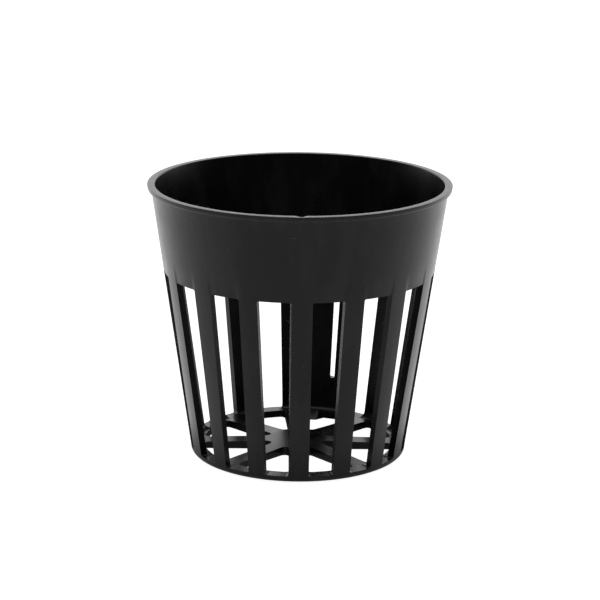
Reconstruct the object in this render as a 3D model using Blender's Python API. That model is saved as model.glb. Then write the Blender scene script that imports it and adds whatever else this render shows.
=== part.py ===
"""A small net pot for seedlings, moulded in black plastic, as its natural members.

The pot is a thin tapered wall. Its upper part is a plain collar with a lip, and its lower part is
ribs and one wide panel, which stand on a flat ring. Spokes and a hub inside the ring are the open
floor. Metres, +Z up, origin in the middle of the foot. Angles are in degrees, counted from the
front of the pot, which faces -Y, towards +X.
"""

import math

import bmesh
import bpy
from mathutils import Matrix, Vector

# Driving dimensions of the tapered wall
HEIGHT = 0.0502
MOUTH_RADIUS = 0.0269
FOOT_RADIUS = 0.0197
WALL = 0.0012
MOUTH_WALL = 0.0008

# Lip and collar
LIP_OVERHANG = 0.0006
LIP_THICKNESS = 0.0008
LIP_ROUNDING = 0.00015
LIP_ROOT = 0.0006
COLLAR_DEPTH = 0.0158

# Ribs, which narrow towards the foot and aren't evenly spaced at the back
RIB_ARC = 9.3
FRONT_RIB_ANGLES = (-67.4, -43.7, -21.4, 1.0, 22.8, 45.6, 67.8)
RIGHT_RIB_ANGLES = (91.4, 106.8, 132.4, 154.6)
LEFT_RIB_ANGLES = (213.6, 232.2, 254.8, 270.2)

# Wide panel behind the last rib on the right, with a thin web low down in the slit between them
SLIT_ARC = 3.4
PANEL_ARC = 26.0
WEB_HEIGHT = 0.0058
WEB_THICKNESS = 0.0006
WEB_INSET = 0.0002

# Foot ring and floor
FLOOR_THICKNESS = 0.0012
RING_WIDTH = 0.00225
FOOT_ROUNDING = 0.00085
SPOKE_WIDTH = 0.0030
SPOKE_ANGLES = (0.5, 41.0, 90.5, 135.5, 183.5, 225.5, 270.0, 316.0)
HUB_MARGIN = 0.0014

# Parting gap between one member and the next
PARTING = 0.0003

# Steps of the round surfaces
TURN_STEPS = 96
MEMBER_STEPS = 6
ROUNDING_STEPS = 3
ARC_MARGIN = 1.25

# Black satin plastic
PLASTIC_COLOUR = (0.012, 0.012, 0.013, 1.0)
PLASTIC_ROUGHNESS = 0.42
PLASTIC_METALLIC = 0.0
SHARP_ANGLE = 35.0


def outer_radius(height):
    """Outer radius of the tapered wall at a height."""
    return FOOT_RADIUS + (MOUTH_RADIUS - FOOT_RADIUS) * height / HEIGHT


def inner_radius(height):
    """Inner radius of the wall at a height. The collar thins out from the slots to the mouth."""
    rise = max(0.0, height - (HEIGHT - COLLAR_DEPTH)) / COLLAR_DEPTH
    return outer_radius(height) - WALL + (WALL - MOUTH_WALL) * rise


def rounded_corner(centre, radius, start, end):
    """Points (radius, height) along a small arc in the wall's section."""
    points = []
    for step in range(ROUNDING_STEPS + 1):
        turn = math.radians(start + (end - start) * step / ROUNDING_STEPS)
        points.append((centre[0] + radius * math.cos(turn), centre[1] + radius * math.sin(turn)))
    return points


def wall_section(low, high):
    """Section of the tapered wall between two heights."""
    return [
        (inner_radius(low), low),
        (outer_radius(low), low),
        (outer_radius(high), high),
        (inner_radius(high), high),
    ]


def turned(section, start=0.0, sweep=360.0, steps=TURN_STEPS):
    """A section of points (radius, height), turned about the pot's axis."""
    shape = bmesh.new()
    place = Matrix.Rotation(math.radians(start), 3, "Z")
    corners = [shape.verts.new(place @ Vector((0.0, -radius, height))) for radius, height in section]
    whole = sweep == 360.0
    if whole:
        outline = [shape.edges.new(pair) for pair in zip(corners, corners[1:] + corners[:1])]
    else:
        outline = [shape.faces.new(corners)]
    bmesh.ops.spin(
        shape,
        geom=outline,
        axis=(0.0, 0.0, 1.0),
        angle=math.radians(sweep),
        steps=steps,
        use_merge=whole,
    )
    bmesh.ops.recalc_face_normals(shape, faces=shape.faces)
    return shape


def trim(shape, angle, offset, side):
    """Cut a shape off square, by a plane that runs along the radius at an angle."""
    turn = math.radians(angle)
    across = Vector((math.cos(turn), math.sin(turn), 0.0))
    bmesh.ops.bisect_plane(
        shape,
        geom=shape.verts[:] + shape.edges[:] + shape.faces[:],
        plane_co=across * offset,
        plane_no=across * side,
        clear_outer=True,
    )
    bmesh.ops.holes_fill(shape, edges=[edge for edge in shape.edges if edge.is_boundary])
    bmesh.ops.recalc_face_normals(shape, faces=shape.faces)


def straight_spoke(section, angle):
    """A turned piece with parallel sides, centred on an angle."""
    half_width = SPOKE_WIDTH / 2.0
    innermost = min(radius for radius, height in section)
    reach = math.degrees(math.asin(half_width / innermost)) * ARC_MARGIN
    shape = turned(section, angle - reach, 2.0 * reach, MEMBER_STEPS)
    trim(shape, angle, half_width, 1.0)
    trim(shape, angle, -half_width, -1.0)
    return shape


def black_plastic(name):
    """Satin black plastic of one member."""
    material = bpy.data.materials.new(name + "_plastic")
    material.use_nodes = True
    shader = material.node_tree.nodes["Principled BSDF"]
    shader.inputs["Base Color"].default_value = PLASTIC_COLOUR
    shader.inputs["Roughness"].default_value = PLASTIC_ROUGHNESS
    shader.inputs["Metallic"].default_value = PLASTIC_METALLIC
    material.diffuse_color = PLASTIC_COLOUR
    return material


def add_member(name, shape):
    """Make a named object of a shape, with its own material."""
    mesh = bpy.data.meshes.new(name)
    shape.to_mesh(mesh)
    shape.free()
    mesh.shade_smooth()
    mesh.set_sharp_from_angle(angle=math.radians(SHARP_ANGLE))
    mesh.materials.append(black_plastic(name))
    member = bpy.data.objects.new(name, mesh)
    bpy.context.scene.collection.objects.link(member)
    return member


def add_rim_lip():
    """The lip at the mouth, which stands out past the short wall under it."""
    seat = HEIGHT - LIP_THICKNESS
    foot = seat - LIP_ROOT
    rim = MOUTH_RADIUS + LIP_OVERHANG
    section = [
        (inner_radius(foot), foot),
        (outer_radius(foot), foot),
        (outer_radius(seat), seat),
        (rim, seat),
    ]
    section += rounded_corner((rim - LIP_ROUNDING, HEIGHT - LIP_ROUNDING), LIP_ROUNDING, 0.0, 90.0)
    section.append((inner_radius(HEIGHT), HEIGHT))
    add_member("rim_lip", turned(section))


def add_collar():
    """The plain upper wall, from the lip down to the slots' tops."""
    section = wall_section(HEIGHT - COLLAR_DEPTH, HEIGHT - LIP_THICKNESS - LIP_ROOT - PARTING)
    add_member("collar", turned(section))


def slot_section():
    """Section of the wall between the foot ring and the collar."""
    return wall_section(FLOOR_THICKNESS + PARTING, HEIGHT - COLLAR_DEPTH - PARTING)


def add_ribs():
    """The narrow ribs, numbered from the front left one towards the right."""
    angles = FRONT_RIB_ANGLES + RIGHT_RIB_ANGLES + LEFT_RIB_ANGLES
    for number, angle in enumerate(angles, start=1):
        shape = turned(slot_section(), angle - RIB_ARC / 2.0, RIB_ARC, MEMBER_STEPS)
        add_member(f"rib_{number:02d}", shape)


def add_blank_panel():
    """The wide panel, joined to the thin web that closes the slit's lower end."""
    neighbour_edge = RIGHT_RIB_ANGLES[-1] + RIB_ARC / 2.0
    start = neighbour_edge + SLIT_ARC
    panel_steps = round(TURN_STEPS * PANEL_ARC / 360.0)
    panel = add_member("blank_panel", turned(slot_section(), start, PANEL_ARC, panel_steps))

    foot = FLOOR_THICKNESS + PARTING
    top = foot + WEB_HEIGHT
    skin = WEB_INSET + WEB_THICKNESS
    web_section = [
        (outer_radius(foot) - skin, foot),
        (outer_radius(foot) - WEB_INSET, foot),
        (outer_radius(top) - WEB_INSET, top),
        (outer_radius(top) - skin, top),
    ]
    web_start = neighbour_edge + math.degrees(PARTING / inner_radius(foot))
    web_shape = turned(web_section, web_start, start + SLIT_ARC - web_start, MEMBER_STEPS)
    web = add_member("slit_web_guide", web_shape)
    web.hide_render = True
    web.display_type = "WIRE"

    joined = panel.modifiers.new("join_web", "BOOLEAN")
    joined.operation = "UNION"
    joined.solver = "EXACT"
    joined.object = web


def ring_inner_radius():
    """Radius of the floor's opening, inside the foot ring."""
    return FOOT_RADIUS - RING_WIDTH


def hub_radius():
    """Radius of the hub, a little past the points where neighbouring spokes meet."""
    following = SPOKE_ANGLES[1:] + (SPOKE_ANGLES[0] + 360.0,)
    narrowest = min(after - angle for angle, after in zip(SPOKE_ANGLES, following))
    return SPOKE_WIDTH / 2.0 / math.sin(math.radians(narrowest / 2.0)) + HUB_MARGIN


def add_foot_ring():
    """The flat ring that the ribs stand on, with its lower outer edge rounded."""
    centre = (FOOT_RADIUS - FOOT_ROUNDING, FOOT_ROUNDING)
    section = [(ring_inner_radius(), FLOOR_THICKNESS), (ring_inner_radius(), 0.0)]
    section += rounded_corner(centre, FOOT_ROUNDING, -90.0, 0.0)
    section.append((outer_radius(FLOOR_THICKNESS), FLOOR_THICKNESS))
    add_member("foot_ring", turned(section))


def add_spokes():
    """The floor's spokes, numbered from the front one towards the right."""
    inner = hub_radius() + PARTING
    outer = ring_inner_radius() - PARTING
    section = [(inner, 0.0), (outer, 0.0), (outer, FLOOR_THICKNESS), (inner, FLOOR_THICKNESS)]
    for number, angle in enumerate(SPOKE_ANGLES, start=1):
        add_member(f"floor_spoke_{number:02d}", straight_spoke(section, angle))


def add_hub():
    """The round hub where the spokes meet."""
    shape = bmesh.new()
    bmesh.ops.create_cone(
        shape,
        cap_ends=True,
        segments=TURN_STEPS,
        radius1=hub_radius(),
        radius2=hub_radius(),
        depth=FLOOR_THICKNESS,
        matrix=Matrix.Translation((0.0, 0.0, FLOOR_THICKNESS / 2.0)),
    )
    add_member("floor_hub", shape)


def main():
    """Clear the scene and build the pot."""
    for old in list(bpy.data.objects):
        bpy.data.objects.remove(old, do_unlink=True)
    add_rim_lip()
    add_collar()
    add_ribs()
    add_blank_panel()
    add_foot_ring()
    add_spokes()
    add_hub()


main()
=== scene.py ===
"""Looks of a small black net pot: one seamless satin moulding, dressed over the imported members.

Metres, +Z up, origin in the middle of the foot. Angles are in degrees, counted from the front of the
pot, which faces -Y, towards +X.
"""

import math

import bmesh
import bpy
from bpy.props import FloatProperty, FloatVectorProperty, PointerProperty
from mathutils import Matrix, Vector


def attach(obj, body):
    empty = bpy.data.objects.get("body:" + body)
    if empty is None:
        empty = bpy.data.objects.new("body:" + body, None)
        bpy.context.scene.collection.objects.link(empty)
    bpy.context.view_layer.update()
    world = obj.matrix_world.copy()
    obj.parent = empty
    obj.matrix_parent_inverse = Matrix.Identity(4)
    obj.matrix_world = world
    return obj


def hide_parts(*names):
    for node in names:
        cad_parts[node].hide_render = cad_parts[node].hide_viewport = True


bl_info = {
    "name": "Net Pot",
    "version": (1, 0, 0),
    "blender": (4, 5, 0),
    "location": "View3D > Sidebar > Net Pot",
    "description": "Moulds a small slotted net pot in black plastic, with its studio",
    "category": "Object",
}

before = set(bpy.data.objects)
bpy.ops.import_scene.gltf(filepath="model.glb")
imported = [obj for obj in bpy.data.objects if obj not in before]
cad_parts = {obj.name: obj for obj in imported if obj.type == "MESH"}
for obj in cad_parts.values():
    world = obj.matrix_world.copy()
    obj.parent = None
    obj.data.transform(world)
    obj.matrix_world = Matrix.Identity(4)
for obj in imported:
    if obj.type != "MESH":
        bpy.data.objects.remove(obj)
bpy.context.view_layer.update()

# Where each upright member starts and ends, at the slots' tops and at their feet
MEMBERS = (
    (-3.55, 5.70, -4.70, 5.80),
    (19.02, 27.55, 18.74, 27.95),
    (41.50, 49.55, 41.20, 50.10),
    (63.70, 74.20, 61.20, 71.50),
    (86.80, 96.00, 86.80, 96.00),
    (102.20, 111.10, 102.20, 111.90),
    (127.80, 136.65, 127.80, 137.40),
    (150.00, 158.70, 150.00, 159.40),
    (162.74, 188.90, 162.62, 188.90),
    (208.90, 217.70, 208.90, 218.60),
    (228.00, 237.00, 228.00, 237.00),
    (250.50, 259.40, 249.80, 259.00),
    (265.60, 274.80, 265.60, 274.80),
    (288.50, 298.00, 286.50, 298.00),
    (312.00, 321.00, 311.55, 319.80),
    (334.95, 342.94, 334.05, 342.94),
)

# Heights between which the edges run from their foot angles to their top angles
EDGE_TOP_HEIGHT = 0.033
EDGE_FOOT_HEIGHT = 0.003

# Number of the member before the slit, and the slit's corners
SLIT = 7
SLIT_CORNER = 0.0005

# Thin web that closes the slit's lower end: where it starts and ends, how far it stands behind the
# wall's outer face, its thickness at the top, and how far its foot is from the ring's inner edge
WEB_START = 0.00105
WEB_TOP = 0.0074
WEB_SETBACK = 0.0002
WEB_THICKNESS = 0.0006
WEB_ROOT = 0.0006

# Degrees by which the wide panel's edges stand further out on the inside, by the edge's number
INNER_SKEW = {16: -0.9, 17: 0.45}

# The front rib's left edge, which is dressed off by a flat of this width and slope
DRESSED_EDGE = 0
DRESSING = 0.0003
DRESSING_SLOPE = 1.7

# Radius of the slots' upper corners, how many radii the rounding takes to fade out around a corner,
# the height under which it moves nothing, and how far the fillet inside stays off the ring's edge
TOP_CORNER = 0.00025
CORNER_FADE = 1.6
SETTLED_HEIGHT = 0.00085
FILLET_MARGIN = 0.0001

# Scoops in the collar above the slots: how far they rise, and their slope at the slot's sides
SCOOP_RISE = 0.0042
SCOOP_SIDE = 0.0003

# How far above the ring its greater thickness at the back fades out, and where it starts on the floor
LIFT_FADE = 0.0030
LIFT_START = 0.0100
LIFT_RUN = 0.0050

# Direction of each floor spoke, and how far its sides stand off the line through the middle
SPOKES = (
    (0.5, -0.00150, 0.00150),
    (41.0, -0.00150, 0.00150),
    (90.5, -0.00150, 0.00150),
    (135.5, -0.00150, 0.00150),
    (184.7, -0.00170, 0.00118),
    (225.5, -0.00150, 0.00150),
    (270.0, -0.00150, 0.00150),
    (316.0, -0.00150, 0.00150),
)

# Radius that the hub reaches to in the hole after each spoke
HUB_EDGES = (0.0055, 0.0049, 0.0048, 0.0055, 0.0055, 0.0055, 0.0054, 0.0055)

# Radius of the holes' corners
HOLE_CORNER = 0.0009

# Leftover of the gate on the ring's inner edge, beside the back spoke, from the axis towards +X
TAB_START = -0.0020
TAB_FULL = 0.0002
TAB_SHOULDER = 0.0036
TAB_END = 0.0049
TAB_REACH = 0.0016

# Nick in the rim's front, by its angle and half its width in degrees, how steeply it starts, its depth
# at the inside, and the width and height of the lip that it takes up
NICK_ANGLE = 0.6
NICK_REACH = 1.9
NICK_STEEPNESS = 1.6
NICK_DEPTH = 0.00020
NICK_WIDTH = 0.0012
NICK_HEIGHT = 0.0006

# Section of the lip: how far up the wall its under face starts, the hollow corner there (out from the
# wall, up from the seat), its lower outer edge (in from the rim, up from the seat), the middle of its
# top, and the rounding of the mouth's inner edge
LIP_APPROACH = 0.0004
LIP_HOLLOW = ((0.00002, -0.00012), (0.00014, 0.0))
LIP_EDGE = ((0.00018, 0.0), (0.00011, 0.00005), (0.00008, 0.00014))
LIP_MIDDLE = 0.0008
MOUTH_ROUNDING = 0.0002

# Slivers of flash and dust, each with its half width and its points: how far the point stands out
# from the wall's outer face, its angle and its height
SLIVERS = (
    (0.00005, ((-0.0008, -49.9, 0.05008), (-0.0013, -50.1, 0.05014), (-0.0018, -50.6, 0.05016))),
    (0.00006, ((-0.0008, -43.9, 0.05008), (-0.0014, -43.8, 0.05015), (-0.0020, -43.5, 0.05016))),
    (0.00005, ((-0.0008, -36.6, 0.05008), (-0.0012, -37.6, 0.05014), (-0.0018, -39.2, 0.05016))),
    (0.00006, ((-0.0007, -3.70, 0.03068), (-0.0010, -4.60, 0.03072), (-0.0012, -5.50, 0.03090))),
    (
        0.00006,
        (
            (-0.0011, 41.60, 0.0337),
            (-0.0011, 41.50, 0.0322),
            (-0.0011, 41.45, 0.0309),
            (-0.0012, 41.35, 0.0293),
            (-0.0015, 40.90, 0.0286),
        ),
    ),
    (0.00020, ((0.00050, 0.85, 0.04960), (0.00052, 1.20, 0.04966), (0.00050, 1.60, 0.04980))),
    (0.00005, ((0.0, -2.75, 0.04627), (0.00002, -1.60, 0.04634), (0.0, -0.50, 0.04638))),
    (0.00005, ((0.0, -7.95, 0.04858), (0.00002, -7.60, 0.04868))),
    (0.00005, ((0.0, 13.20, 0.04842), (0.00002, 13.65, 0.04846))),
    (0.00005, ((0.0, 22.40, 0.04430), (0.00002, 22.75, 0.04438))),
    (0.00006, ((0.0, 1.20, 0.02625), (0.00002, 1.55, 0.02633))),
    (0.00006, ((0.0, 1.95, 0.02250), (0.00002, 2.15, 0.02272))),
    (0.00005, ((0.0, -2.30, 0.02520), (0.00002, -2.05, 0.02526))),
    (0.00005, ((0.0, -28.45, 0.04340), (0.00002, -28.00, 0.04352))),
    (0.00005, ((0.0, 21.40, 0.03950), (0.00002, 21.70, 0.03956))),
)

# Spacing of the mesh along the wall's turn, up the wall, on the floor, and in the finer stretches
COLUMN_SPACING = 0.00045
ROW_SPACING = 0.0025
LOW_ROW_SPACING = 0.0010
FLOOR_SPACING = 0.0009
SCOOP_SPACING = 0.0004
CORNER_STEPS = 3
ROUNDING_STEPS = 5
MOUTH_STEPS = 4
FILLET_STEPS = 7

# Places of single rows: on the hub, in from the ring's edges under the foot and on top of it, below
# the slots' feet, over the web, under the slots' tops, past the scoops and under the lip
HUB_ROWS = (0.0012, 0.0030, 0.0044)
RING_ROW = 0.0005
FOOT_ROW = 0.0004
RING_TOP_ROW = 0.00008
LEDGE_ROW = 0.0010
WEB_ROWS = 0.0010
TOP_ROWS = 0.0005
SCOOP_ROWS = 0.0050
LIP_ROWS = 0.0016

# Height at which the columns are spaced, the distance from the axis that all the holes keep, and how
# near two heights or two places are to be the same one
MIDDLE_HEIGHT = 0.018
HOLE_DISTANCE = 0.004
SAME_HEIGHT = 1e-6
SAME_PLACE = 1e-7

# Faces that meet at more degrees than this have a crisp edge between them
SHARP_ANGLE = 40.0

# Noise in the plastic's surface, each with its scale, detail and roughness, and how the drag marks and
# the clouds are drawn together along each axis
GRAIN = (5200.0, 2.0, 0.6)
WAVES = (190.0, 2.0, 0.5)
DRAG = (1.0, 3.0, 0.6)
DRAG_SCALE = (1500.0, 1500.0, 40.0)
PATCHES = (420.0, 4.0, 0.65)
CLOUDS = (1.0, 4.0, 0.55)
CLOUD_SCALE = (230.0, 230.0, 60.0)

# Relief of the plastic: the shares of its three kinds of noise, its strength and its depth
RELIEF_GRAIN = 0.30
RELIEF_WAVES = 1.6
RELIEF_DRAG = 0.35
RELIEF_STRENGTH = 0.30
RELIEF_DEPTH = 0.00006

# Gloss of the plastic varies by this much, in patches and along the drag marks, and how it bends light
GLOSS_PATCHES = 0.12
GLOSS_DRAG = 0.05
PLASTIC_IOR = 1.49

# How much lighter the worn plastic is, and the values of the clouded pattern between which it shows
WORN_TIMES = 9.0
WORN_START = 0.42
WORN_FULL = 0.66

# Roughness of the slivers, the width of their tip as a share of the whole, and their ridge's height
FLASH_ROUGHNESS = 0.5
SLIVER_TIP = 0.3
SLIVER_RIDGE = 0.9

# Floor's half width and roughness, and the darker disc just under its face that only reflections see, a
# painted shadow of the pot: its radius and depth, where its cover fades out, its glow of painted light
# from the front towards the back, and its grey
FLOOR_HALF = 6.0
PAPER_ROUGHNESS = 0.9
SHADE_RADIUS = 0.07
SHADE_DEPTH = 0.0002
SHADE_FADE = (0.0175, 0.0340)
SHADE_FRONT = -0.014
SHADE_BACK = 0.012
SHADE_GLOW = (0.26, 0.02)
SHADE_GREY = 0.20

# Brightness of the surroundings from the front round to the back, then how much darker they are in
# front above the floor, and high up, each between two parts of the direction
SKY_STOPS = (
    (0.07, 0.30),
    (0.28, 0.33),
    (0.50, 0.45),
    (0.66, 0.54),
    (0.78, 0.68),
    (0.90, 0.80),
    (0.97, 0.86),
)
SKY_STRENGTH = 1.6
FRONT_DARKER = 0.90
FRONT_ALONG = (0.6, -0.1)
FRONT_UP = (-0.26, -0.02)
HIGH_DARKER = 0.75
HIGH_UP = (0.32, 0.62)

# Softbox over the pot
SOFTBOX_SIZE = 1.2
SOFTBOX_POWER = 3.0
SOFTBOX_PLACE = (0.0, 0.15, 1.1)

# Camera: where it looks, how far off, how high and how far it is rolled in degrees, and its lens in mm
CAMERA_AIM = (0.000187, 0.000024, 0.028241)
CAMERA_DISTANCE = 0.40296
CAMERA_ELEVATION = 15.416
CAMERA_ROLL = 0.495
CAMERA_SENSOR = 36.0
CAMERA_LENS = 132.25
CAMERA_NEAREST = 0.01


def turned_point(radius, angle, height):
    """A point of the pot, from its radius, its angle in degrees and its height."""
    turn = math.radians(angle)
    return Vector((radius * math.sin(turn), -radius * math.cos(turn), height))


def between(low, high, share):
    """The value that lies at a share of the way from low to high."""
    return low + (high - low) * share


def limited(value):
    """A value kept between 0 and 1."""
    return max(0.0, min(1.0, value))


def eased(share):
    """A share of the way with a soft start and end."""
    return share * share * (3.0 - 2.0 * share)


def backward(angle):
    """How far round towards the back an angle is, from 0 at the front to 1."""
    return limited(0.5 - 0.75 * math.cos(math.radians(angle)))


def quarter_turn(steps):
    """Steps of a quarter circle of radius 1: how far it has left one side, and is still from the other."""
    turns = [math.radians(90.0 * step / steps) for step in range(steps + 1)]
    return [(1.0 - math.cos(turn), 1.0 - math.sin(turn)) for turn in turns]


class PotSizes(bpy.types.PropertyGroup):
    """Sizes of the moulding that a user may change."""

    height: FloatProperty(
        name="Height",
        description="Height over the lip",
        default=0.0502,
        unit="LENGTH",
        precision=4,
    )
    mouth_radius: FloatProperty(
        name="Mouth Radius",
        description="Outer radius that the tapered wall has at the top",
        default=0.0269,
        unit="LENGTH",
        precision=4,
    )
    foot_radius: FloatProperty(
        name="Foot Radius",
        description="Outer radius that the tapered wall has at the bottom",
        default=0.0197,
        unit="LENGTH",
        precision=4,
    )
    wall: FloatProperty(
        name="Wall", description="Thickness of the wall", default=0.0012, unit="LENGTH", precision=4
    )
    mouth_wall: FloatProperty(
        name="Mouth Wall",
        description="Thickness that the collar thins to at the mouth",
        default=0.0008,
        unit="LENGTH",
        precision=4,
    )
    lip_overhang: FloatProperty(
        name="Lip Overhang",
        description="How far the lip stands out past the wall",
        default=0.0006,
        unit="LENGTH",
        precision=4,
    )
    lip_thickness: FloatProperty(
        name="Lip Thickness",
        description="Height of the lip's edge",
        default=0.0008,
        unit="LENGTH",
        precision=4,
    )
    collar_depth: FloatProperty(
        name="Collar Depth",
        description="How far the closed collar reaches down from the mouth",
        default=0.0158,
        unit="LENGTH",
        precision=4,
    )
    slot_corner: FloatProperty(
        name="Slot Corner",
        description="Radius of the slots' lower corners on the outside",
        default=0.0003,
        unit="LENGTH",
        precision=5,
    )
    foot_fillet: FloatProperty(
        name="Foot Fillet",
        description="Radius of the hollow between the wall's inner face and the foot ring",
        default=0.0010,
        unit="LENGTH",
        precision=4,
    )
    scoop_depth: FloatProperty(
        name="Scoop Depth",
        description="How far the collar is hollowed above each slot",
        default=0.00008,
        unit="LENGTH",
        precision=5,
    )
    floor_thickness: FloatProperty(
        name="Floor Thickness",
        description="Thickness of the foot ring and the floor's spokes",
        default=0.0012,
        unit="LENGTH",
        precision=4,
    )
    foot_rounding: FloatProperty(
        name="Foot Rounding",
        description="Rounding of the foot ring's lower outer edge",
        default=0.00085,
        unit="LENGTH",
        precision=5,
    )
    lip_rounding: FloatProperty(
        name="Lip Rounding",
        description="Rounding of the lip's upper outer edge",
        default=0.00007,
        unit="LENGTH",
        precision=5,
    )
    ring_width: FloatProperty(
        name="Ring Width", description="Width of the foot ring", default=0.00225, unit="LENGTH", precision=5
    )
    back_lift: FloatProperty(
        name="Back Lift",
        description="How much thicker the foot ring is at the back than at the front",
        default=0.00012,
        unit="LENGTH",
        precision=5,
    )
    hub_rise: FloatProperty(
        name="Hub Rise",
        description="How much thicker the floor is at the hub than at the foot ring",
        default=0.0004,
        unit="LENGTH",
        precision=5,
    )


class PotFinish(bpy.types.PropertyGroup):
    """Colours and gloss of the plastic and the studio."""

    plastic: FloatVectorProperty(
        name="Plastic",
        description="Colour of the black plastic",
        subtype="COLOR",
        size=3,
        min=0.0,
        max=1.0,
        default=(0.0016, 0.0016, 0.0017),
    )
    flash: FloatVectorProperty(
        name="Flash",
        description="Colour of the thin slivers of flash and dust",
        subtype="COLOR",
        size=3,
        min=0.0,
        max=1.0,
        default=(0.16, 0.16, 0.16),
    )
    roughness: FloatProperty(
        name="Roughness",
        description="Roughness of the satin surface",
        subtype="FACTOR",
        default=0.29,
        min=0.0,
        max=1.0,
    )
    backdrop: FloatVectorProperty(
        name="Backdrop",
        description="Colour of the pale floor",
        subtype="COLOR",
        size=3,
        min=0.0,
        max=1.0,
        default=(0.93, 0.93, 0.93),
    )


class Number:
    """A shader socket that takes part in ordinary sums."""

    def __init__(self, nodes, socket):
        self.nodes = nodes
        self.socket = socket

    def sum(self, operation, first, second):
        """The result of a Math node on two numbers or sockets."""
        return self.nodes.make("ShaderNodeMath", {"operation": operation}, {0: first, 1: second}).number()

    def __add__(self, other):
        return self.sum("ADD", self, other)

    __radd__ = __add__

    def __sub__(self, other):
        return self.sum("SUBTRACT", self, other)

    def __rsub__(self, other):
        return self.sum("SUBTRACT", other, self)

    def __mul__(self, other):
        return self.sum("MULTIPLY", self, other)

    __rmul__ = __mul__


class Made:
    """A node that was just made, with its results by name."""

    def __init__(self, nodes, node):
        self.nodes = nodes
        self.node = node

    def number(self, name=0):
        """A result that takes part in sums."""
        return Number(self.nodes, self.node.outputs[name])

    def result(self, name=0):
        """A result as a plain socket."""
        return self.node.outputs[name]


class Nodes:
    """Makes the nodes of one material or of the surroundings."""

    def __init__(self, tree):
        self.tree = tree
        tree.nodes.clear()

    def make(self, kind, settings=None, inputs=None):
        """Make a node of a kind, with its settings first and then its sockets' values or links."""
        node = self.tree.nodes.new(kind)
        for name, value in (settings or {}).items():
            if name == "stops":
                self.set_stops(node.color_ramp, value)
            else:
                setattr(node, name, value)
        for name, value in (inputs or {}).items():
            if isinstance(value, Number):
                value = value.socket
            if isinstance(value, bpy.types.NodeSocket):
                self.tree.links.new(value, node.inputs[name])
            else:
                node.inputs[name].default_value = value
        return Made(self, node)

    @staticmethod
    def set_stops(ramp, stops):
        """Give a colour ramp its stops, each a place and a grey."""
        while len(ramp.elements) < len(stops):
            ramp.elements.new(1.0)
        for element, (place, grey) in zip(ramp.elements, stops):
            element.position = place
            element.color = (grey, grey, grey, 1.0)

    def noise(self, place, scale, detail, roughness):
        """Cloudy noise over the places."""
        return self.make(
            "ShaderNodeTexNoise",
            inputs={"Vector": place, "Scale": scale, "Detail": detail, "Roughness": roughness},
        ).number("Fac")

    def stretched(self, place, scale):
        """The places, drawn together or out along each axis."""
        return self.make("ShaderNodeMapping", inputs={"Vector": place, "Scale": scale}).result()

    def fade(self, value, start, end, first=0.0, last=1.0, kind="SMOOTHSTEP"):
        """A number that runs from first to last while the value runs from start to end."""
        return self.make(
            "ShaderNodeMapRange",
            {"interpolation_type": kind},
            {"Value": value, "From Min": start, "From Max": end, "To Min": first, "To Max": last},
        ).number()


def new_material(name, colour):
    """A material with no nodes yet, and the maker of its nodes."""
    material = bpy.data.materials.new(name)
    material.use_nodes = True
    material.diffuse_color = (*colour, 1.0)
    return material, Nodes(material.node_tree)


def satin_plastic(finish):
    """Black satin plastic, with fine grain, slight waviness, drag marks and paler worn clouds."""
    colour = tuple(finish.plastic)
    material, nodes = new_material("satin_black_plastic", colour)
    place = nodes.make("ShaderNodeTexCoord").result("Object")

    grain = nodes.noise(place, *GRAIN)
    waves = nodes.noise(place, *WAVES)
    drag = nodes.noise(nodes.stretched(place, DRAG_SCALE), *DRAG)
    patches = nodes.noise(place, *PATCHES)
    clouds = nodes.noise(nodes.stretched(place, CLOUD_SCALE), *CLOUDS)
    haze = nodes.fade(clouds, WORN_START, WORN_FULL)

    relief = grain * RELIEF_GRAIN + waves * RELIEF_WAVES + drag * RELIEF_DRAG
    bumped = nodes.make(
        "ShaderNodeBump",
        inputs={"Strength": RELIEF_STRENGTH, "Distance": RELIEF_DEPTH, "Height": relief},
    ).result("Normal")
    lowest_gloss = float(finish.roughness) - (GLOSS_PATCHES + GLOSS_DRAG) / 2.0
    gloss = patches * GLOSS_PATCHES + drag * GLOSS_DRAG + lowest_gloss
    worn = tuple(part * WORN_TIMES for part in colour)
    tone = nodes.make(
        "ShaderNodeMix",
        {"data_type": "RGBA"},
        {"Factor": haze, 6: (*colour, 1.0), 7: (*worn, 1.0)},
    ).result(2)
    shader = nodes.make(
        "ShaderNodeBsdfPrincipled",
        inputs={"Base Color": tone, "Roughness": gloss, "Normal": bumped, "IOR": PLASTIC_IOR},
    ).result("BSDF")
    nodes.make("ShaderNodeOutputMaterial", inputs={"Surface": shader})
    return material


def pale_flash(finish):
    """The thin slivers' greyer plastic."""
    colour = tuple(finish.flash)
    material, nodes = new_material("pale_flash", colour)
    shader = nodes.make(
        "ShaderNodeBsdfPrincipled",
        inputs={"Base Color": (*colour, 1.0), "Roughness": FLASH_ROUGHNESS, "IOR": PLASTIC_IOR},
    ).result("BSDF")
    nodes.make("ShaderNodeOutputMaterial", inputs={"Surface": shader})
    return material


def spread(start, end, spacing):
    """Places from start up to but not including end, evenly spaced."""
    count = max(1, round(abs(end - start) / spacing))
    return [between(start, end, step / count) for step in range(count)]


def cornered(start, end, spacing, low_corner, high_corner):
    """Places from start up to but not including end, with closer ones at each end for its corner."""
    places = spread(start, start + low_corner, low_corner / CORNER_STEPS)
    places += spread(start + low_corner, end - high_corner, spacing)
    places += spread(end - high_corner, end, high_corner / CORNER_STEPS)
    return places


def round_corner(side, end, radius):
    """Move a point near an opening's square corner onto the rounded outline.

    Both distances run into the opening, from its side and from its end.
    """
    across = 1.0 - side / radius
    along = 1.0 - end / radius
    if across <= 0.0 or along <= 0.0:
        return side, end
    square = max(across, along)
    fade = limited((CORNER_FADE - square) / (CORNER_FADE - 1.0))
    pull = between(1.0, square / math.hypot(across, along), fade)
    return radius * (1.0 - across * pull), radius * (1.0 - along * pull)


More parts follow.
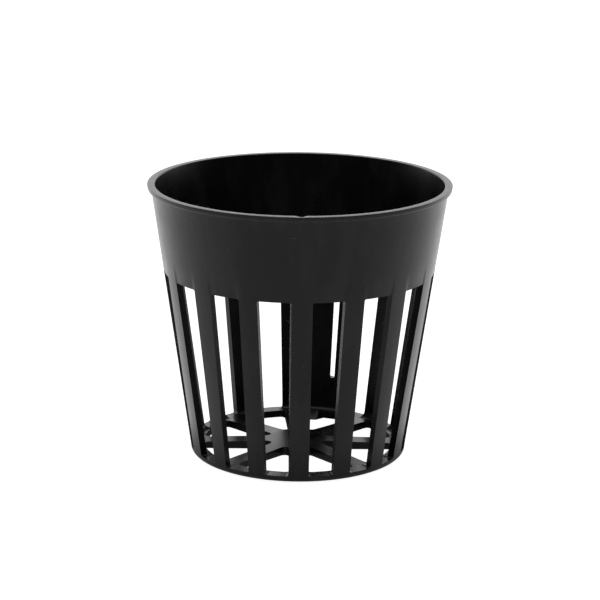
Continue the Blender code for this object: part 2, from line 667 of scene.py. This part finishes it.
class Column:
    """One upright line of the mesh, placed between two members' edges."""

    def __init__(self, first, second, share, gap):
        self.first = first
        self.second = second
        self.share = share
        self.gap = gap

    def angle(self, height):
        """Angle of the line at a height."""
        return between(edge_angle(self.first, height), edge_angle(self.second, height), self.share)


def edge_angle(edge, height):
    """Angle of a member's edge at a height. Edges count starts and ends of the members in turn."""
    turns, place = divmod(edge, 2 * len(MEMBERS))
    member = MEMBERS[place // 2]
    side = place % 2
    rise = limited((height - EDGE_FOOT_HEIGHT) / (EDGE_TOP_HEIGHT - EDGE_FOOT_HEIGHT))
    return between(member[2 + side], member[side], rise) + 360.0 * turns


class Moulding:
    """The pot's mesh: a flat grid, bent into the section of the pot and turned about its axis."""

    def __init__(self, sizes):
        self.sizes = sizes
        self.slot_foot = sizes.floor_thickness
        self.slot_top = sizes.height - sizes.collar_depth
        self.hub_radius = max(HUB_EDGES)
        self.ring_inner = sizes.foot_radius - sizes.ring_width
        self.columns = self.make_columns()
        self.rows = self.make_rows()
        self.floor_columns = self.pair_columns_with_spokes()

    def outer(self, height):
        """Outer radius of the tapered wall at a height."""
        share = height / self.sizes.height
        return between(self.sizes.foot_radius, self.sizes.mouth_radius, share)

    def inner(self, height):
        """Inner radius of the wall at a height. The collar thins out from the slots to the mouth."""
        rise = max(0.0, height - self.slot_top) / self.sizes.collar_depth
        return self.outer(height) - between(self.sizes.wall, self.sizes.mouth_wall, rise)

    def floor_top(self, radius):
        """Height of the floor's upper face, which rises from the foot ring to the hub."""
        rise = limited((self.ring_inner - radius) / (self.ring_inner - self.hub_radius))
        return self.sizes.floor_thickness + self.sizes.hub_rise * rise

    def make_columns(self):
        """Columns of the members and of the slots between them, in turn, a column spacing apart."""
        columns = []
        radius = self.outer(self.slot_top / 2.0)
        for edge in range(2 * len(MEMBERS)):
            gap = edge % 2 == 1
            turn = edge_angle(edge + 1, MIDDLE_HEIGHT) - edge_angle(edge, MIDDLE_HEIGHT)
            width = math.radians(turn) * radius
            if gap:
                corner = SLIT_CORNER if edge // 2 == SLIT else self.sizes.slot_corner
                corner = min(corner, width / 3.0)
                places = cornered(0.0, width, COLUMN_SPACING, corner, corner)
            elif edge == DRESSED_EDGE:
                places = [0.0, *spread(DRESSING, width, COLUMN_SPACING)]
            else:
                places = spread(0.0, width, COLUMN_SPACING)
            columns += [Column(edge, edge + 1, place / width, gap) for place in places]
        return columns

    def make_rows(self):
        """Points (radius, height, part) along the section, from under the hub round to the hub's top."""
        sizes = self.sizes
        flat = list(HUB_ROWS)
        flat += cornered(self.hub_radius, self.ring_inner, FLOOR_SPACING, HOLE_CORNER, HOLE_CORNER)
        heights = self.wall_heights()
        rows = [(radius, 0.0, "under") for radius in flat]
        rows.append((self.ring_inner, 0.0, "under"))
        rows += self.foot_rows()
        rows += [(self.outer(height), height, "outer") for height in heights]
        rows += self.lip_rows()
        rows += [(self.inner(height), height, "inner") for height in reversed(heights)]
        rows.append((self.ring_inner + RING_TOP_ROW, sizes.floor_thickness, "over_ring"))
        rows.append((self.ring_inner, sizes.floor_thickness, "over"))
        rows += [(radius, sizes.floor_thickness, "over") for radius in reversed(flat)]
        return rows

    def foot_rows(self):
        """The foot ring's underside and its rounded lower edge, up to just below the slots."""
        rounding = self.sizes.foot_rounding
        rows = [
            (self.ring_inner + RING_ROW, 0.0, "outer"),
            (self.sizes.foot_radius - rounding - FOOT_ROW, 0.0, "outer"),
        ]
        for rise, inset in quarter_turn(ROUNDING_STEPS):
            rows.append((self.outer(rounding) - rounding * inset, rounding * rise, "outer"))
        rows.append((self.outer(LEDGE_ROW), LEDGE_ROW, "outer"))
        return rows

    def wall_heights(self):
        """Heights of the wall's rows, closer together at the slots' corners and in the scoops."""
        fillet = self.sizes.foot_fillet
        fillet_top = self.slot_foot + fillet
        web_rows = WEB_TOP - SLIT_CORNER
        scoop_top = self.slot_top + SCOOP_ROWS
        heights = spread(self.slot_foot, fillet_top, fillet / FILLET_STEPS)
        heights += spread(fillet_top, web_rows, LOW_ROW_SPACING)
        heights += cornered(web_rows, self.slot_top, ROW_SPACING, WEB_ROWS, TOP_ROWS)
        heights += spread(self.slot_top, scoop_top, SCOOP_SPACING)
        heights += spread(scoop_top, self.sizes.height - LIP_ROWS, ROW_SPACING)
        return heights

    def lip_rows(self):
        """The lip's under face, rounded outer edge and top, round to the mouth's inner edge."""
        sizes = self.sizes
        top = sizes.height
        seat = top - sizes.lip_thickness
        rim = sizes.mouth_radius + sizes.lip_overhang
        crown = sizes.lip_rounding
        start = seat - LIP_APPROACH
        points = [(self.outer(start), start)]
        points += [(self.outer(seat) + outward, seat + rise) for outward, rise in LIP_HOLLOW]
        points += [(rim - inset, seat + rise) for inset, rise in LIP_EDGE]
        for inset, drop in quarter_turn(ROUNDING_STEPS):
            points.append((rim - crown * inset, top - crown * drop))
        points.append((rim - LIP_MIDDLE, top))
        for drop, inset in quarter_turn(MOUTH_STEPS):
            points.append((self.inner(top) + MOUTH_ROUNDING * inset, top - MOUTH_ROUNDING * drop))
        return [(radius, height, "lip") for radius, height in points]

    def pair_columns_with_spokes(self):
        """For each column, the spoke sides that it runs between on the floor, and its share of the way."""
        foot_angles = [column.angle(0.0) for column in self.columns]
        start = foot_angles[0]
        sides = []
        for number, (direction, low, high) in enumerate(SPOKES):
            for side, offset in enumerate((low, high)):
                angle = direction + math.degrees(math.asin(offset / self.ring_inner))
                angle = (angle - start) % 360.0 + start
                nearest = min(range(len(foot_angles)), key=lambda index: abs(foot_angles[index] - angle))
                sides.append((nearest, 2 * number + side))
        sides.sort()
        count = len(self.columns)
        paired = [None] * count
        for place, (index, side) in enumerate(sides):
            following = sides[(place + 1) % len(sides)]
            steps = (following[0] - index) % count
            for step in range(steps):
                paired[(index + step) % count] = (side, following[1], step / steps)
        return paired

    def spoke_side_angle(self, side, radius):
        """Angle of a spoke's side at a radius."""
        direction, low, high = SPOKES[side // 2]
        offset = high if side % 2 else low
        return direction + math.degrees(math.asin(offset / radius))

    def hub_edge(self, side, share):
        """Radius that the hub reaches to in a hole, or across a spoke from one hole to the next."""
        number = side // 2
        if side % 2 == 1:
            return HUB_EDGES[number]
        return between(HUB_EDGES[number - 1], HUB_EDGES[number], share)

    def ring_edge(self, side, following, share, part):
        """Radius of the foot ring's inner edge along a column, with the gate's leftover."""
        first = self.spoke_side_angle(side, self.ring_inner)
        second = self.spoke_side_angle(following, self.ring_inner)
        angle = first + (second - first) % 360.0 * share
        across = self.ring_inner * math.sin(math.radians(angle))
        if math.cos(math.radians(angle)) > 0.0 or part == "over":
            return self.ring_inner
        rise = limited((across - TAB_START) / (TAB_FULL - TAB_START))
        fall = limited((TAB_END - across) / (TAB_END - TAB_SHOULDER))
        return self.ring_inner - TAB_REACH * rise * eased(fall)

    def floor_point(self, index, radius, part):
        """Place of a column's vertex on the floor, with the holes' corners rounded."""
        side, following, share = self.floor_columns[index]
        hub = self.hub_edge(side, share)
        ring = self.ring_edge(side, following, share, part)
        reach = radius
        if radius < self.hub_radius:
            radius = hub * radius / self.hub_radius
        else:
            way = (radius - self.hub_radius) / (self.ring_inner - self.hub_radius)
            radius = between(hub, ring, way)
        place = max(radius, hub)
        first = self.spoke_side_angle(side, place)
        second = self.spoke_side_angle(following, place)
        second = first + (second - first) % 360.0
        angle = between(first, second, share)
        if reach < self.hub_radius:
            return self.floor_vertex(radius, angle, part)
        near = side if share < 0.5 else following
        near_angle = first if share < 0.5 else second
        direction, low, high = SPOKES[near // 2]
        direction += near_angle - self.spoke_side_angle(near, place)
        edge = high if near % 2 else low
        away = 1.0 if near % 2 else -1.0
        offset = radius * math.sin(math.radians(angle - direction))
        into_hole = (offset - edge) * away
        if radius > (ring + hub) / 2.0:
            into_hole, depth = round_corner(into_hole, ring - radius, HOLE_CORNER)
            radius = ring - depth
        else:
            corner = self.hub_corner(near)
            into_hole, depth = round_corner(into_hole, radius - hub, corner)
            radius = hub + depth
        offset = edge + into_hole * away
        return self.floor_vertex(radius, direction + math.degrees(math.asin(offset / radius)), part)

    def floor_vertex(self, radius, angle, part):
        """A point of the floor's lower or upper face."""
        if part == "under":
            return turned_point(radius, angle, 0.0)
        lift = self.sizes.back_lift * backward(angle) * limited((radius - LIFT_START) / LIFT_RUN)
        return turned_point(radius, angle, self.floor_top(radius) + lift)

    def hub_corner(self, side):
        """Radius of a hole's corner between a spoke's side and the hub, at most half the hole's width."""
        start = side if side % 2 else (side - 1) % (2 * len(SPOKES))
        hub = HUB_EDGES[start // 2]
        first = self.spoke_side_angle(start, hub)
        second = self.spoke_side_angle((start + 1) % (2 * len(SPOKES)), hub)
        return min(HOLE_CORNER, math.radians((second - first) % 360.0) * hub / 2.0)

    def wall_point(self, index, radius, height, part):
        """Place of a column's vertex on the wall, with all that is rounded, hollowed or filled there."""
        column = self.columns[index]
        edge_number = column.first if column.share < 0.5 else column.second
        edge = edge_angle(edge_number, height)
        slit = (edge_number - 1) // 2 % len(MEMBERS) == SLIT
        into_gap = 1.0 if edge_number % 2 == 1 else -1.0
        turn_radius = self.outer(height)
        angle = column.angle(height)
        side = math.radians(angle - edge) * turn_radius * into_gap
        new_height = height
        if part in ("outer", "inner"):
            corner = self.foot_corner(edge, slit, part)
            side, new_height = self.round_slot(side, height, part, slit, corner)
            if new_height != height:
                radius = self.outer(new_height) + (radius - turn_radius)
            angle = edge + math.degrees(side / turn_radius) * into_gap

        climb = new_height - self.slot_foot
        if part == "inner":
            if height < self.slot_top:
                angle += INNER_SKEW.get(edge_number, 0.0)
            radius = self.filled_radius(radius, angle, climb)
        if part == "outer" and edge_number == DRESSED_EDGE and self.slot_foot < height < self.slot_top:
            radius -= DRESSING_SLOPE * max(0.0, DRESSING - abs(side))
        if part == "outer" and column.gap:
            radius -= self.scoop(side, height)
        if part == "lip":
            new_height -= self.nick(radius, angle, height)
        elif climb > -SAME_HEIGHT:
            new_height += self.sizes.back_lift * backward(angle) * limited(1.0 - climb / LIFT_FADE)
        if slit and column.gap and WEB_START < height < WEB_TOP - SLIT_CORNER:
            radius = self.web_radius(radius, height, part)
        return turned_point(radius, angle, new_height)

    def foot_corner(self, edge, slit, part):
        """Radius of an opening's lower corner, which is larger on the wall's inside at the back."""
        if slit:
            return SLIT_CORNER
        if part == "inner" and math.cos(math.radians(edge)) < 0.0:
            return self.sizes.foot_fillet
        return self.sizes.slot_corner

    def round_slot(self, side, height, part, slit, corner):
        """Distance into a slot's width, and height, of a point once the slot's corners are rounded."""
        foot = WEB_TOP if slit else self.slot_foot
        if abs(height - foot) < abs(self.slot_top - height):
            side, depth = round_corner(side, height - foot, corner)
            new_height = foot + depth
        else:
            side, depth = round_corner(side, self.slot_top - height, TOP_CORNER)
            new_height = self.slot_top - depth
        if height < SETTLED_HEIGHT or (part == "inner" and height <= self.slot_foot and side < 0.0):
            new_height = height
        return side, new_height

    def filled_radius(self, radius, angle, climb):
        """Radius of the wall's inner face, filled out by the fillet at its foot."""
        fillet = between(self.sizes.slot_corner, self.sizes.foot_fillet, backward(angle))
        if climb >= fillet:
            return radius
        steep = 1.0 - max(0.0, climb) / fillet
        radius -= fillet * (1.0 - math.sqrt(1.0 - steep * steep))
        return max(radius, self.ring_inner + FILLET_MARGIN)

    def scoop(self, side, height):
        """Depth of the hollow in the collar above a slot, at a distance into the slot's width."""
        if height < self.slot_top - SAME_HEIGHT:
            return 0.0
        fade = limited(1.0 - (height - self.slot_top) / SCOOP_RISE)
        return self.sizes.scoop_depth * eased(fade) * limited(side / SCOOP_SIDE)

    def nick(self, radius, angle, height):
        """Depth of the nick in the rim, which is deepest at the mouth's inner edge."""
        sizes = self.sizes
        depth = NICK_DEPTH * limited(NICK_STEEPNESS * (1.0 - abs(angle - NICK_ANGLE) / NICK_REACH))
        inward = limited((sizes.mouth_radius + sizes.lip_overhang - radius) / NICK_WIDTH)
        above = limited((height - (sizes.height - sizes.lip_thickness)) / NICK_HEIGHT)
        return depth * above * inward

    def web_radius(self, radius, height, part):
        """Radius of the thin web in the slit's lower end, whose inner face leans in towards the ring."""
        if part == "outer":
            return radius - WEB_SETBACK
        if part != "inner" or height <= self.slot_foot:
            return radius
        rise = (height - self.slot_foot) / (WEB_TOP - self.slot_foot)
        lean = between(self.ring_inner + WEB_ROOT, self.outer(WEB_TOP) - WEB_THICKNESS, rise)
        return max(radius, lean)

    def in_opening(self, column_index, row_index):
        """Whether the grid's face after this column and row belongs to a slot or a floor hole."""
        first = self.rows[row_index]
        second = self.rows[row_index + 1]
        middle = (first[1] + second[1]) / 2.0
        if first[2] == second[2] and first[2] in ("outer", "inner"):
            column = self.columns[column_index]
            if not column.gap:
                return False
            foot = WEB_TOP if column.first // 2 == SLIT else self.slot_foot
            return foot < middle < self.slot_top
        if first[2] == second[2] and first[2] in ("under", "over"):
            side = self.floor_columns[column_index][0]
            middle = (first[0] + second[0]) / 2.0
            return side % 2 == 1 and self.hub_radius < middle < self.ring_inner
        return False

    def mesh(self):
        """Bend the grid into the pot and open its slots and holes."""
        shape = bmesh.new()
        across = len(self.columns)
        along = len(self.rows) - 1
        bmesh.ops.create_grid(shape, x_segments=across, y_segments=along, size=0.5)
        grid_place = {}
        for vert in shape.verts:
            grid_place[vert] = (round((vert.co.x + 0.5) * across), round((vert.co.y + 0.5) * along))
        opened = []
        for face in shape.faces:
            places = [grid_place[vert] for vert in face.verts]
            column = min(place[0] for place in places)
            row = min(place[1] for place in places)
            if self.in_opening(column, row):
                opened.append(face)
        bmesh.ops.delete(shape, geom=opened, context="FACES")
        for vert in shape.verts:
            column, row = grid_place[vert]
            radius, height, part = self.rows[row]
            index = column % across
            if part in ("under", "over"):
                vert.co = self.floor_point(index, radius, part)
            else:
                vert.co = self.wall_point(index, radius, height, part)
        bmesh.ops.remove_doubles(shape, verts=shape.verts, dist=SAME_PLACE)
        self.bridge_openings(shape)
        self.close_hub(shape)
        bmesh.ops.recalc_face_normals(shape, faces=shape.faces)
        return shape

    def bridge_openings(self, shape):
        """Join the two outlines of each opening by the faces through the plastic's thickness."""
        loops = outlines(shape)
        holes = [loop for loop in loops if loop_centre(loop).xy.length > HOLE_DISTANCE]
        while holes:
            loop = holes.pop(0)
            centre = loop_centre(loop)
            partner = min(holes, key=lambda other: (loop_centre(other) - centre).length)
            holes.remove(partner)
            bmesh.ops.bridge_loops(shape, edges=loop + partner)

    @staticmethod
    def close_hub(shape):
        """Close the small round openings left in the middle of the hub."""
        bmesh.ops.holes_fill(shape, edges=[edge for edge in shape.edges if edge.is_boundary])


def outlines(shape):
    """The shape's open outlines, each a list of edges, in the same order each run."""
    left = dict.fromkeys(edge for edge in shape.edges if edge.is_boundary)
    found = []
    while left:
        loop = [left.popitem()[0]]
        ends = list(loop[0].verts)
        while ends:
            vert = ends.pop()
            for edge in vert.link_edges:
                if edge in left:
                    del left[edge]
                    loop.append(edge)
                    ends.append(edge.other_vert(vert))
        found.append(loop)
    return found


def loop_centre(loop):
    """Middle of an outline's vertices."""
    middle = Vector()
    for edge in loop:
        middle += edge.verts[0].co + edge.verts[1].co
    return middle / (2.0 * len(loop))


def finished(name, shape, material):
    """A named piece of a shape, with its material, on the pot's body."""
    mesh = bpy.data.meshes.new(name)
    shape.to_mesh(mesh)
    shape.free()
    mesh.shade_smooth()
    mesh.set_sharp_from_angle(angle=math.radians(SHARP_ANGLE))
    mesh.materials.append(material)
    piece = bpy.data.objects.new(name, mesh)
    bpy.context.scene.collection.objects.link(piece)
    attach(piece, "root")
    return piece


class NETPOT_OT_moulding(bpy.types.Operator):
    """Mould the pot: the lipped collar, ribs, panel, foot ring and open floor in one"""

    bl_idname = "netpot.moulding"
    bl_label = "Mould the Pot"

    def execute(self, context):
        sizes = context.scene.netpot_sizes
        finish = context.scene.netpot_finish
        piece = finished("net_pot_moulding", Moulding(sizes).mesh(), satin_plastic(finish))
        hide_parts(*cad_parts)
        return {"FINISHED"}


def add_sliver(shape, points, half_width):
    """A thin three-sided strip along the points, which narrows towards its tip."""
    rings = []
    for number, point in enumerate(points):
        before = points[max(0, number - 1)]
        after = points[min(len(points) - 1, number + 1)]
        outward = Vector((point.x, point.y, 0.0)).normalized()
        across = (after - before).cross(outward).normalized()
        width = half_width * between(1.0, SLIVER_TIP, number / (len(points) - 1))
        ridge = point + outward * width * SLIVER_RIDGE
        corners = (point + across * width, point - across * width, ridge)
        rings.append([shape.verts.new(corner) for corner in corners])
    for ring, following in zip(rings, rings[1:]):
        for side in range(3):
            after = (side + 1) % 3
            shape.faces.new((ring[side], ring[after], following[after], following[side]))
    shape.faces.new(rings[0])
    shape.faces.new(rings[-1])


class NETPOT_OT_flash(bpy.types.Operator):
    """Leave the slivers of flash at the edges and the dust on the wall"""

    bl_idname = "netpot.flash"
    bl_label = "Leave Flash and Dust"

    def execute(self, context):
        moulding = Moulding(context.scene.netpot_sizes)
        shape = bmesh.new()
        for half_width, places in SLIVERS:
            points = [
                turned_point(moulding.outer(height) + outset, angle, height)
                for outset, angle, height in places
            ]
            add_sliver(shape, points, half_width)
        bmesh.ops.recalc_face_normals(shape, faces=shape.faces)
        finished("flash_and_dust", shape, pale_flash(context.scene.netpot_finish))
        return {"FINISHED"}


class NETPOT_OT_stage(bpy.types.Operator):
    """Set the pale floor, the soft light and the camera"""

    bl_idname = "netpot.stage"
    bl_label = "Set the Studio"

    def execute(self, context):
        scene = context.scene
        finish = scene.netpot_finish
        self.lay_floor(finish)
        self.lay_shade()
        self.surround(scene)
        self.hang_softbox(scene)
        self.aim_camera(scene)
        scene.view_settings.view_transform = "Standard"
        return {"FINISHED"}

    @staticmethod
    def set_down(name, shape, material):
        """A stage piece of a shape, with its material."""
        mesh = bpy.data.meshes.new(name)
        shape.to_mesh(mesh)
        shape.free()
        mesh.materials.append(material)
        piece = bpy.data.objects.new(name, mesh)
        bpy.context.scene.collection.objects.link(piece)
        return piece

    @staticmethod
    def glowing_paper(nodes, colour, glow):
        """Plain dull paper that also glows, as it would under light from all sides."""
        return nodes.make(
            "ShaderNodeBsdfPrincipled",
            inputs={
                "Base Color": (*colour, 1.0),
                "Roughness": PAPER_ROUGHNESS,
                "Specular IOR Level": 0.0,
                "Emission Color": glow,
                "Emission Strength": 1.0,
            },
        ).result("BSDF")

    def lay_floor(self, finish):
        """A wide plain floor under the pot."""
        colour = tuple(finish.backdrop)
        material, nodes = new_material("pale_floor", colour)
        paper = self.glowing_paper(nodes, colour, (*colour, 1.0))
        nodes.make("ShaderNodeOutputMaterial", inputs={"Surface": paper})
        shape = bmesh.new()
        bmesh.ops.create_grid(shape, x_segments=1, y_segments=1, size=FLOOR_HALF)
        floor = self.set_down("studio_floor", shape, material)
        floor.visible_diffuse = False
        floor.visible_glossy = False

    def lay_shade(self):
        """A disc just under the floor's face that gives a painted shadow of the pot, and painted light at
        its front, to its reflections.
        """
        colour = (SHADE_GREY, SHADE_GREY, SHADE_GREY)
        material, nodes = new_material("shaded_floor", colour)
        place = nodes.make("ShaderNodeTexCoord").result("Object")
        away = nodes.make("ShaderNodeVectorMath", {"operation": "LENGTH"}, {0: place}).number("Value")
        cover = nodes.fade(away, *SHADE_FADE, 1.0, 0.0)
        along = nodes.make("ShaderNodeSeparateXYZ", inputs={0: place}).number("Y")
        # Painted light: the disc glows brighter at its front than at its back, standing in for the light
        # that reaches under the pot's front
        painted_front_light = nodes.fade(along, SHADE_FRONT, SHADE_BACK, *SHADE_GLOW, kind="LINEAR")
        clear = nodes.make("ShaderNodeBsdfTransparent").result()
        paper = self.glowing_paper(nodes, colour, painted_front_light)
        mixed = nodes.make("ShaderNodeMixShader", inputs={0: cover, 1: clear, 2: paper}).result()
        nodes.make("ShaderNodeOutputMaterial", inputs={"Surface": mixed})
        shape = bmesh.new()
        depth = Matrix.Translation((0.0, 0.0, -SHADE_DEPTH))
        bmesh.ops.create_circle(shape, cap_ends=True, segments=64, radius=SHADE_RADIUS, matrix=depth)
        shade = self.set_down("floor_shade", shape, material)
        shade.visible_camera = False
        shade.visible_shadow = False

    def surround(self, scene):
        """Pale surroundings that are darker in front and high up, and white where the camera sees them."""
        world = bpy.data.worlds.new("studio")
        scene.world = world
        world.use_nodes = True
        nodes = Nodes(world.node_tree)
        direction = nodes.make("ShaderNodeTexCoord").result("Generated")
        parts = nodes.make("ShaderNodeSeparateXYZ", inputs={0: direction})
        along = parts.number("Y")
        up = parts.number("Z")
        brightness = nodes.make(
            "ShaderNodeValToRGB", {"stops": SKY_STOPS}, {"Fac": along * 0.5 + 0.5}
        ).number("Color")
        in_front = nodes.fade(along, *FRONT_ALONG) * nodes.fade(up, *FRONT_UP)
        high = nodes.fade(up, *HIGH_UP)
        level = brightness * (1.0 - in_front * FRONT_DARKER) * (1.0 - high * HIGH_DARKER)
        lit = nodes.make("ShaderNodeBackground", inputs={"Color": level, "Strength": SKY_STRENGTH}).result()
        paper = nodes.make("ShaderNodeBackground", inputs={"Color": (1.0, 1.0, 1.0, 1.0)}).result()
        seen = nodes.make("ShaderNodeLightPath").result("Is Camera Ray")
        background = nodes.make("ShaderNodeMixShader", inputs={0: seen, 1: lit, 2: paper}).result()
        nodes.make("ShaderNodeOutputWorld", inputs={"Surface": background})

    def hang_softbox(self, scene):
        """One large soft light over the pot."""
        lamp = bpy.data.lights.new("back_softbox", "AREA")
        lamp.shape = "RECTANGLE"
        lamp.size = SOFTBOX_SIZE
        lamp.size_y = SOFTBOX_SIZE
        lamp.energy = SOFTBOX_POWER
        softbox = bpy.data.objects.new("back_softbox", lamp)
        softbox.matrix_world = Matrix.Translation(SOFTBOX_PLACE)
        scene.collection.objects.link(softbox)

    def aim_camera(self, scene):
        """The camera in front of the pot, a little above it."""
        elevation = math.radians(CAMERA_ELEVATION)
        lens = bpy.data.cameras.new("photo_camera")
        lens.sensor_width = CAMERA_SENSOR
        lens.lens = CAMERA_LENS
        lens.clip_start = CAMERA_NEAREST
        camera = bpy.data.objects.new("photo_camera", lens)
        scene.collection.objects.link(camera)
        backward_up = Vector((0.0, -math.cos(elevation), math.sin(elevation)))
        place = Matrix.Translation(Vector(CAMERA_AIM) + CAMERA_DISTANCE * backward_up)
        tilt = Matrix.Rotation(math.radians(90.0) - elevation, 4, "X")
        roll = Matrix.Rotation(math.radians(CAMERA_ROLL), 4, "Z")
        camera.matrix_world = place @ tilt @ roll
        scene.camera = camera


class NETPOT_PT_panel(bpy.types.Panel):
    """Sizes, finish and steps of the net pot"""

    bl_idname = "NETPOT_PT_panel"
    bl_label = "Net Pot"
    bl_space_type = "VIEW_3D"
    bl_region_type = "UI"
    bl_category = "Net Pot"

    def draw(self, context):
        layout = self.layout
        for group in (context.scene.netpot_sizes, context.scene.netpot_finish):
            for name in group.__annotations__:
                layout.prop(group, name)
        for operator in OPERATORS:
            layout.operator(operator.bl_idname)


OPERATORS = (NETPOT_OT_moulding, NETPOT_OT_flash, NETPOT_OT_stage)
CLASSES = (PotSizes, PotFinish, *OPERATORS, NETPOT_PT_panel)


def register():
    """Register the classes, and the sizes and finish that they read."""
    for entry in CLASSES:
        bpy.utils.register_class(entry)
    bpy.types.Scene.netpot_sizes = PointerProperty(type=PotSizes)
    bpy.types.Scene.netpot_finish = PointerProperty(type=PotFinish)


def unregister():
    """Take everything back that register added."""
    del bpy.types.Scene.netpot_finish
    del bpy.types.Scene.netpot_sizes
    for entry in reversed(CLASSES):
        bpy.utils.unregister_class(entry)


def main():
    """Make the pot and its studio."""
    register()
    bpy.ops.netpot.moulding()
    bpy.ops.netpot.flash()
    bpy.ops.netpot.stage()


if __name__ == "__main__":
    main()
